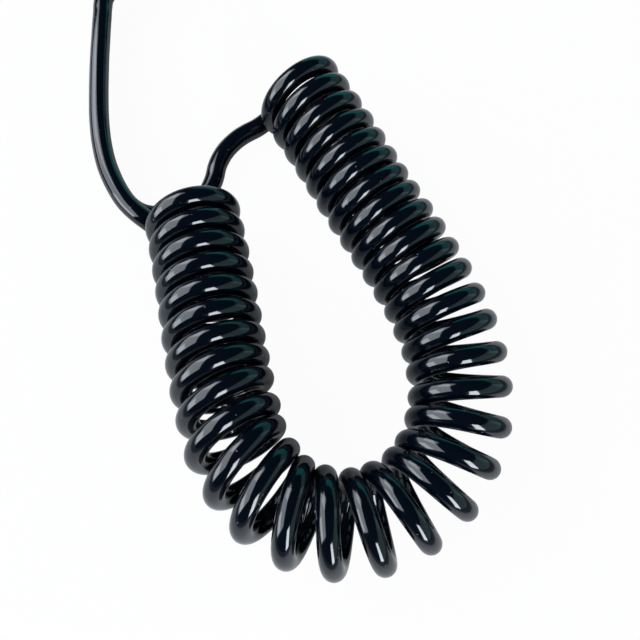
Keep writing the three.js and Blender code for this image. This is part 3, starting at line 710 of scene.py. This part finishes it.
def tube_mesh(name, line, radius, sides):
    """A closed round tube with an end cap at each end, and a UV map of metres along and around it."""
    side, up = carried_frames(line)
    turn = np.linspace(0, 2 * np.pi, sides, endpoint=False)
    ring = side[:, None] * np.cos(turn)[:, None] + up[:, None] * np.sin(turn)[:, None]
    points = (line[:, None] + ring * radius).reshape(-1, 3)
    first = np.arange((len(line) - 1) * sides)
    row, column = np.divmod(first, sides)
    following = row * sides + (column + 1) % sides
    quads = np.stack([first, following, following + sides, first + sides], 1)
    caps = [list(range(sides))[::-1], [(len(line) - 1) * sides + k for k in range(sides)]]
    mesh = bpy.data.meshes.new(name)
    mesh.from_pydata(points.tolist(), [], quads.tolist() + caps)
    reach = distances(line)
    width = 2 * math.pi * radius / sides
    corners = [
        np.stack([reach[row + down], (column + on) * width], 1)
        for down, on in ((0, 0), (0, 1), (1, 1), (1, 0))
    ]
    coordinates = np.zeros((len(mesh.loops), 2), np.float32)
    coordinates[:quads.size] = np.stack(corners, 1).reshape(-1, 2)
    mesh.uv_layers.new(name="along_and_round").data.foreach_set("uv", coordinates.ravel())
    mesh.shade_smooth()
    return mesh


def jacket_material():
    material, shader, at = new_material("jacket", IOR=1.53)
    place = object_place(at)
    dust = place.node("ShaderNodeTexVoronoi", {"Vector": place, "Scale": 420})
    specks = (1 - step(dust, 0.05, 0.085)) * step(noise(place, 260, 0), 0.55, 0.58)
    route = at.node("ShaderNodeUVMap", uv_map="along_and_round")
    along = at.node("ShaderNodeSeparateXYZ", {0: route}, "X")
    girth = at.node("ShaderNodeSeparateXYZ", {0: route}, "Y") - math.pi * CORD_D / 2
    half_girth = girth.node("ShaderNodeMath", {0: girth}, operation="ABSOLUTE")
    drawn = at.node("ShaderNodeCombineXYZ", {0: along * STREAKS[0], 1: half_girth * STREAKS[1]})
    waves = bump(noise(place, 90, 1), 0.06)
    streaks = bump(noise(drawn, 1, 1), 0.006, waves)
    feed(shader, Base_Color=mixed(specks, JACKET, DUST))
    feed(shader, Roughness=0.05 + noise(place, 2600) * 0.07 + specks * 0.35)
    feed(shader, Normal=bump(specks, 0.04, streaks))
    return material


line = cord_line()
cord = put("cord", tube_mesh("cord", line, CORD_D / 2, CORD_SIDES))
cord.data.materials.append(jacket_material())
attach(cord, "cable")
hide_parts("curly_cord", "start_lead", "end_lead")
kept_pieces = ["latch_button", "latch_spring", "female_chuck"]
kept_pieces += [f"female_{kind}_{n}" for kind in ("contact", "core") for n in (1, 2, 3)]

# ---- Table ----
# A white sheet that the cable lies on, lit by the lamps. The camera sees it lifted towards pure white,
# as in the photograph, with a faint shadow. Polished faces see it as it is lit, and dark beyond its edge.
# What polished faces see beyond the sheet's edge is a painted dark reflection: the table glows dark there
# instead of being lit.
TABLE_HALF = 3  # metres
TABLE_WHITE = 0.965  # share of the table that the camera sees as pure white
TABLE_GREY = 0.65  # its colour under the lamps
SHEET_MIDDLE = (0.01, 0.006, 0)  # after the squeeze
SHEET_SQUEEZE = (1, 0.62, 1)  # the sheet is longer along Y than across
SHEET_EDGE = (0.13, 0.17)  # metres from its middle, where it begins to darken and where it has ended
SHEET_GLOW = (0.1, 0.9)  # share of its own glow in what polished faces see, on the sheet and beyond; beyond, that glow is the painted dark reflection
# colour of the painted dark reflection that polished faces see beyond the sheet's edge
BEYOND_PAINTED_DARK = (0.09, 0.125, 0.15)

table = put("table", bpy.data.meshes.new("table"))
corners = [(x * TABLE_HALF, y * TABLE_HALF, 0) for x, y in ((-1, -1), (1, -1), (1, 1), (-1, 1))]
table.data.from_pydata(corners, [], [(0, 1, 2, 3)])


def rays(at):
    """Whether a ray comes from the camera, off a polished face, or through glass."""
    return [at.node("ShaderNodeLightPath", output=f"Is {kind} Ray")
            for kind in ("Camera", "Glossy", "Transmission")]


def table_material():
    material, shader, at = new_material("table", Base_Color=(*[TABLE_GREY] * 3, 1), Roughness=0.7)
    seen, mirrored, through = rays(at)
    place = object_place(at, SHEET_SQUEEZE)
    reach = at.node("ShaderNodeVectorMath", {0: place, 1: SHEET_MIDDLE}, "Value", operation="DISTANCE")
    beyond = step(reach, *SHEET_EDGE)
    # Polished faces see a painted dark reflection glowing beyond the sheet's edge, in place of the lit
    # table.
    white = at.node("ShaderNodeEmission", {"Color": mixed(beyond * mirrored, (1, 1, 1), BEYOND_PAINTED_DARK)})
    glow = SHEET_GLOW[0] + beyond * (SHEET_GLOW[1] - SHEET_GLOW[0])
    lift = (seen + through) * TABLE_WHITE + mirrored * glow
    lit = Socket(at.tree, shader.outputs["BSDF"])
    both = at.node("ShaderNodeMixShader", {"Fac": lift, 1: lit, 2: white})
    at.tree.links.new(both.link, at.tree.nodes["Material Output"].inputs["Surface"])
    return material


table.data.materials.append(table_material())

# ---- Light ----
# What the photograph's cord mirrors: a wide window high on the left, with a smaller one behind it and a
# bright patch below; a lamp behind the camera; and dim teal walls from the right round to the back. The
# walls would stain the metal, so they light the cord alone, and grey ones in their places light the rest.
WINDOW = (0.92, 1, 1.08)
GREY = (1, 1, 1)
TEAL_WALLS = (  # name, degrees clockwise from +Y and above the table, size, radiance and colour
    ("side_wall", 117, 21, (1.35, 0.66), 0.52, (0.65, 1, 1.03)),
    ("far_wall", 70, 16, (0.9, 0.5), 0.42, (0.4, 0.9, 0.95)),
    ("back_wall", 18, 12, (0.9, 0.45), 0.75, (0.08, 0.85, 0.86)),
)
ROOM = (0.018, 0.033, 0.046)  # the dark room that a glossy cord mirrors
BACKDROP_MIRRORED = 0.01  # share of the white backdrop that polished faces see


def panel(name, place, facing, size, radiance, colour):
    """A flat lamp of a width and height in metres, as bright as a surface of that radiance."""
    lamp = bpy.data.lights.new(name, "AREA")
    lamp.shape = "RECTANGLE"
    lamp.size, lamp.size_y = size
    lamp.energy = radiance * math.pi * size[0] * size[1]
    lamp.color = colour
    holder = put(name, lamp)
    holder.location = place
    holder.rotation_euler = Vector(facing).to_track_quat("-Z", "Y").to_euler()
    return holder


def faced(name, azimuth, elevation, size, radiance, colour):
    """A flat lamp a metre from the cable's middle, which it faces: degrees from +Y, and upwards."""
    turn, rise = math.radians(azimuth), math.radians(elevation)
    place = Vector((math.cos(rise) * math.sin(turn), math.cos(rise) * math.cos(turn), math.sin(rise)))
    return panel(name, place, -place, size, radiance, colour)


def light_cord(lamp, state):
    """Lets a lamp light the cord alone, or all but the cord."""
    group = bpy.data.collections.new(lamp.name)
    group.objects.link(cord)
    group.collection_objects[0].light_linking.link_state = state
    lamp.light_linking.receiver_collection = group


def room(world):
    """The camera sees white past the table's edge, and polished faces see little of that."""
    world.use_nodes = True
    background = world.node_tree.nodes["Background"]
    background.inputs["Color"].default_value = (*ROOM, 1)
    at = Socket(world.node_tree)
    seen, mirrored, through = rays(at)
    dark = Socket(at.tree, background.outputs["Background"])
    white = at.node("ShaderNodeBackground", {"Color": (1, 1, 1, 1)})
    lift = seen + through + mirrored * BACKDROP_MIRRORED
    both = at.node("ShaderNodeMixShader", {"Fac": lift, 1: dark, 2: white})
    at.tree.links.new(both.link, at.tree.nodes["World Output"].inputs["Surface"])


panel("window", (-0.84, 0.04, 0.55), (0.84, 0, -0.55), (1.62, 0.92), 3.6, WINDOW)
panel("high_window", (-0.60, 0.52, 0.68), (0.60, -0.52, -0.68), (0.5, 0.6), 2.8, WINDOW)
faced("window_low", 250, 15, (0.62, 0.42), 3.9, (0.93, 1, 1.05))
faced("side_lamp", 160, 20, (0.26, 0.66), 14, (0.94, 1, 1.04))
for name, azimuth, elevation, size, radiance, teal in TEAL_WALLS:
    light_cord(faced(name, azimuth, elevation, size, radiance, teal), "INCLUDE")
    light_cord(faced(name + "_grey", azimuth, elevation, size, radiance, GREY), "EXCLUDE")

bpy.context.scene.world = bpy.data.worlds.new("studio")
room(bpy.context.scene.world)
bpy.context.scene.view_settings.view_transform = "Standard"
